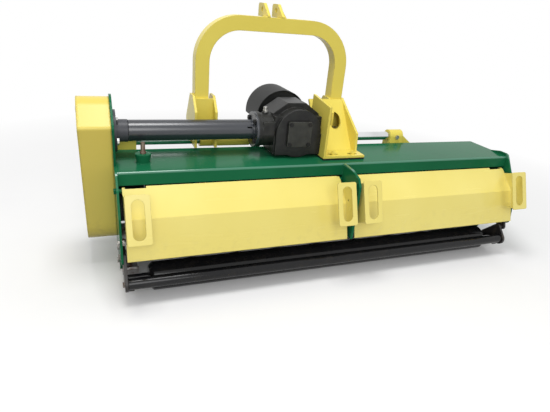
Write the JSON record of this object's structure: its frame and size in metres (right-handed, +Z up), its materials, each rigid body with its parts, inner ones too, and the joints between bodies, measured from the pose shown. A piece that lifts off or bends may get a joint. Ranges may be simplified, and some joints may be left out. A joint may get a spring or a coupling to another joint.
{
  "type": "flail mower",
  "caption": "Rear-mounted flail mower: folded hood over a hammer rotor, belt drive under a side guard, gearbox on a side-shifting hoop headstock, hinged rear doors and a ground roller.",
  "frame": {"origin": "middle of the part's box, on the ground under the runners and the roller", "axes": "+X to the machine's right seen from behind, +Y forward to the tractor, +Z up"},
  "size_m": [1.905, 0.655, 1.022],
  "materials": {
    "green_paint": "glossy green enamel",
    "yellow_paint": "pale yellow enamel",
    "black_paint": "satin black paint",
    "black_casting": "black painted casting",
    "dark_iron": "bare casting",
    "bright_steel": "turned steel",
    "zinc_steel": "zinc plated",
    "rusty_steel": "rusted",
    "hard_chrome": "hard chrome",
    "black_rubber": "black rubber",
    "black_plastic": "moulded black plastic",
    "bronze": "bearing bronze"
  },
  "bodies": {
    "mower_body": {"deck": "green_paint", "left_side_plate": "green_paint", "right_side_plate": "green_paint", "centre_divider": "green_paint", "runners": "black_paint", "plate_bolts": "zinc_steel", "parking_socket": "green_paint", "socket_pin": "rusty_steel", "drive_belts": "black_rubber", "belt_tensioner": "zinc_steel", "guard_studs": "zinc_steel", "belt_guard": "yellow_paint", "collar_flange": "black_paint", "collar_bearings": "bright_steel", "collar_bolts": "zinc_steel", "rotor_bearings": "dark_iron", "bearing_bolts": "zinc_steel", "roller_brackets": "black_paint", "scraper_tube": "black_paint", "hinge_bolts": "zinc_steel", "curtain_rod": "zinc_steel", "slide_rail": "hard_chrome", "rail_holder_left": "yellow_paint", "rail_holder_right": "yellow_paint", "holder_screw": "zinc_steel"},
    "headstock": {"slide_bushes": "bronze", "hoop": "yellow_paint", "link_lugs": "yellow_paint", "left_foot": "yellow_paint", "right_foot": "yellow_paint", "slide_sleeves": "yellow_paint", "slide_pad": "black_plastic", "foot_bolts": "yellow_paint", "hitch_pins": "zinc_steel", "gearbox_casting": "black_casting", "gearbox_cover": "black_casting", "gearbox_bolts": "zinc_steel", "breather_plug": "zinc_steel", "gearbox_bearings": "bright_steel", "guard_tube": "black_paint", "cowl": "black_plastic"},
    "input_drive": {"input_shaft": "bright_steel", "crown_gear": "bright_steel"},
    "cross_shaft": {"pinion_shaft": "bright_steel"},
    "upper_pulley": {"drive_pulley": "dark_iron", "drive_quill": "bright_steel"},
    "rotor": {"rotor_tube": "black_paint", "rotor_stubs": "bright_steel", "rotor_pulley": "dark_iron", "flail_bolts": "zinc_steel"},
    "low_flails": {"flails_low": "bright_steel"},
    "front_flails": {"flails_front": "bright_steel"},
    "rear_flails": {"flails_rear": "bright_steel"},
    "tensioner_wheel": {"idler_wheel": "dark_iron"},
    "left_rear_door": {"left_door": "yellow_paint", "left_handles": "yellow_paint"},
    "right_rear_door": {"right_door": "yellow_paint", "right_handles": "yellow_paint"},
    "roller": {"rear_roller": "black_paint"},
    "curtain": {"curtain_flaps": "black_paint"}
  },
  "joints": [
    {"name": "headstock_slide", "type": "slide", "parent": "mower_body", "child": "headstock", "axis": [1, 0, 0], "range_m": [0, 0.15]},
    {"name": "rotor_spin", "type": "hinge", "parent": "mower_body", "child": "rotor", "pos_m": [0.054, 0.1125, 0.215], "axis": [1, 0, 0], "continuous": true},
    {"name": "upper_pulley_spin", "type": "hinge", "parent": "mower_body", "child": "upper_pulley", "pos_m": [-0.829, 0.0375, 0.554], "axis": [1, 0, 0], "continuous": true},
    {"name": "cross_shaft_spin", "type": "hinge", "parent": "headstock", "child": "cross_shaft", "pos_m": [-0.289, 0.0375, 0.554], "axis": [1, 0, 0], "continuous": true},
    {"name": "input_spin", "type": "hinge", "parent": "headstock", "child": "input_drive", "pos_m": [-0.126, 0.0375, 0.554], "axis": [0, 1, 0], "continuous": true},
    {"name": "tensioner_spin", "type": "hinge", "parent": "mower_body", "child": "tensioner_wheel", "pos_m": [-0.886, 0.02696, 0.37387], "axis": [1, 0, 0], "continuous": true},
    {"name": "low_flails_swing", "type": "hinge", "parent": "rotor", "child": "low_flails", "pos_m": [0.054, 0.1125, 0.123], "axis": [1, 0, 0], "range_deg": [-110, 110]},
    {"name": "front_flails_swing", "type": "hinge", "parent": "rotor", "child": "front_flails", "pos_m": [0.054, 0.19217, 0.261], "axis": [1, 0, 0], "range_deg": [-4, 150]},
    {"name": "rear_flails_swing", "type": "hinge", "parent": "rotor", "child": "rear_flails", "pos_m": [0.054, 0.03283, 0.261], "axis": [1, 0, 0], "range_deg": [-150, 4]},
    {"name": "left_door_swing", "type": "hinge", "parent": "mower_body", "child": "left_rear_door", "pos_m": [-0.39, -0.12813, 0.38394], "axis": [-1, 0, 0], "range_deg": [0, 70]},
    {"name": "right_door_swing", "type": "hinge", "parent": "mower_body", "child": "right_rear_door", "pos_m": [0.498, -0.12813, 0.38394], "axis": [-1, 0, 0], "range_deg": [0, 70]},
    {"name": "roller_spin", "type": "hinge", "parent": "mower_body", "child": "roller", "pos_m": [0.054, -0.1775, 0.055], "axis": [1, 0, 0], "continuous": true},
    {"name": "curtain_swing", "type": "hinge", "parent": "mower_body", "child": "curtain", "pos_m": [0.054, 0.3125, 0.291], "axis": [1, 0, 0], "range_deg": [-8, 75]}
  ],
  "couplings": [
    {"joint": "upper_pulley_spin", "follows": "rotor_spin", "ratio": 1},
    {"joint": "cross_shaft_spin", "follows": "rotor_spin", "ratio": 1},
    {"joint": "input_spin", "follows": "rotor_spin", "ratio": -0.33333},
    {"joint": "tensioner_spin", "follows": "rotor_spin", "ratio": 2.4706}
  ]
}
